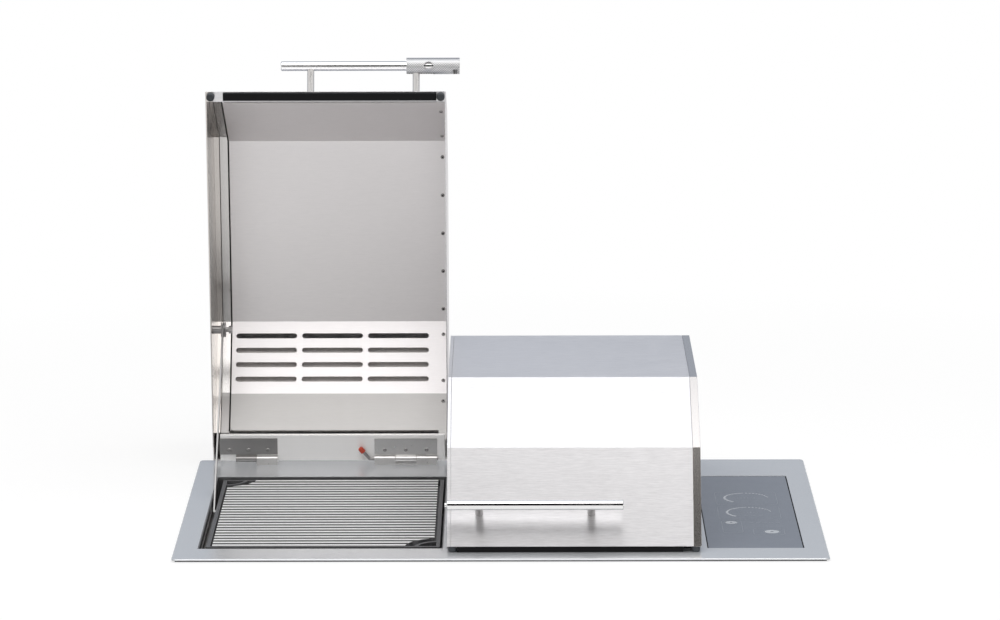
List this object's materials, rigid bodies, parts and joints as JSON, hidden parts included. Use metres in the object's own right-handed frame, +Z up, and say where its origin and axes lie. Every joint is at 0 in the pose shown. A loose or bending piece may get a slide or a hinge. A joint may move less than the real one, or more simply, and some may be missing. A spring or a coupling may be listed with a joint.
{
  "type": "drop-in electric grill",
  "caption": "Counter-mounted electric grill: bevelled steel deck, ribbed grates in wells under folded lids on hinges with stays and release pins, and a flat touch-control glass.",
  "frame": {"origin": "middle of the deck's footprint, on the counter's surface (the underside of the flange seal)", "axes": "+X to the right along the deck's long side, +Y to the back where the hinges are, +Z up"},
  "size_m": [0.765, 0.6722, 0.6182],
  "materials": {
    "deck_steel": "fine satin brushed stainless steel",
    "lid_steel": "brushed stainless steel, grain across the lid",
    "end_steel": "brushed stainless steel, grain along the folds",
    "liner_steel": "mill finish stainless steel",
    "tub_steel": "galvanised sheet, dulled",
    "tray_aluminium": "plain pressed aluminium",
    "grate_aluminium": "cast, grey non-stick coat worn bright on the ribs",
    "element_steel": "heat-darkened tube",
    "seal_rubber": "matt black",
    "control_glass": "tinted glass, back-printed",
    "housing_aluminium": "folded sheet",
    "board_green": "solder mask",
    "ceramic": "unglazed ceramic",
    "gland_black": "moulded nylon",
    "hinge_steel": "stainless steel",
    "handle_steel": "turned stainless steel, fine round grain",
    "sleeve_steel": "knurled stainless steel",
    "cap_red": "dipped red vinyl",
    "stay_steel": "flat stainless strip"
  },
  "bodies": {
    "base": {"deck_plate": "deck_steel", "flange_seal": "seal_rubber", "burner_floor": "tub_steel", "burner_walls": "tub_steel", "left_well": "tub_steel", "right_well": "tub_steel", "left_drip_tray": "tray_aluminium", "right_drip_tray": "tray_aluminium", "left_element": "element_steel", "right_element": "element_steel", "left_stay_track": "tub_steel", "right_stay_track": "tub_steel", "control_glass": "control_glass", "control_gasket": "seal_rubber", "control_housing": "housing_aluminium", "control_board": "board_green", "terminal_block": "ceramic", "cable_gland": "gland_black", "hold_down_clamps": "tub_steel", "clamp_bolts": "hinge_steel", "left_slip_hinge_base": "hinge_steel", "right_slip_hinge_base": "hinge_steel", "left_pin_hinge_base": "hinge_steel", "right_pin_hinge_base": "hinge_steel", "hinge_base_screws": "hinge_steel"},
    "left_lid": {"left_lid_cover": "lid_steel", "left_lid_outer_end": "end_steel", "left_lid_inner_end": "end_steel", "left_lid_liner": "liner_steel", "left_lid_side_channel": "liner_steel", "left_lid_seals": "seal_rubber", "left_slip_hinge_leaf": "hinge_steel", "left_pin_hinge_leaf": "hinge_steel", "left_lid_fasteners": "hinge_steel", "left_handle_bar": "handle_steel", "left_handle_posts": "handle_steel", "left_stay_bolt": "hinge_steel"},
    "right_lid": {"right_lid_cover": "lid_steel", "right_lid_outer_end": "end_steel", "right_lid_inner_end": "end_steel", "right_lid_liner": "liner_steel", "right_lid_side_channel": "liner_steel", "right_lid_seals": "seal_rubber", "right_slip_hinge_leaf": "hinge_steel", "right_pin_hinge_leaf": "hinge_steel", "right_lid_fasteners": "hinge_steel", "right_handle_bar": "handle_steel", "right_handle_posts": "handle_steel", "right_stay_bolt": "hinge_steel"},
    "coupler_sleeve": {"coupler_sleeve": "sleeve_steel"},
    "left_release_pin": {"left_release_pin": "hinge_steel", "left_pin_cap": "cap_red"},
    "right_release_pin": {"right_release_pin": "hinge_steel", "right_pin_cap": "cap_red"},
    "left_stay": {"left_stay": "stay_steel"},
    "right_stay": {"right_stay": "stay_steel"},
    "left_grate": {"left_grate": "grate_aluminium"},
    "right_grate": {"right_grate": "grate_aluminium"}
  },
  "joints": [
    {"name": "left_lid_hinge", "type": "hinge", "parent": "base", "child": "left_lid", "pos_m": [-0.3644, 0.243, 0.011], "axis": [-1, 0, 0], "range_deg": [-83, 0]},
    {"name": "right_lid_hinge", "type": "hinge", "parent": "base", "child": "right_lid", "pos_m": [0.2344, 0.243, 0.011], "axis": [-1, 0, 0], "range_deg": [0, 83]},
    {"name": "left_stay_swing", "type": "hinge", "parent": "left_lid", "child": "left_stay", "pos_m": [-0.3514, 0.25303, 0.17545], "axis": [-1, 0, 0], "range_deg": [0, 112.71]},
    {"name": "right_stay_swing", "type": "hinge", "parent": "right_lid", "child": "right_stay", "pos_m": [0.2214, 0.081, 0.041], "axis": [-1, 0, 0], "range_deg": [-112.71, 0]},
    {"name": "coupler_slide", "type": "slide", "parent": "left_lid", "child": "coupler_sleeve", "axis": [1, 0, 0], "range_m": [-0.018, 0]},
    {"name": "left_pin_pull", "type": "slide", "parent": "left_lid", "child": "left_release_pin", "axis": [-1, 0, 0], "range_m": [0, 0.082]},
    {"name": "left_grate_lift", "type": "slide", "parent": "base", "child": "left_grate", "axis": [0, 0, 1], "range_m": [0, 0.024]},
    {"name": "right_pin_pull", "type": "slide", "parent": "right_lid", "child": "right_release_pin", "axis": [1, 0, 0], "range_m": [0, 0.082]},
    {"name": "right_grate_lift", "type": "slide", "parent": "base", "child": "right_grate", "axis": [0, 0, 1], "range_m": [0, 0.024]}
  ],
  "couplings": [
    {"joint": "left_stay_swing", "follows": "left_lid_hinge", "ratio": -1.3567},
    {"joint": "right_stay_swing", "follows": "right_lid_hinge", "ratio": -1.3567}
  ]
}
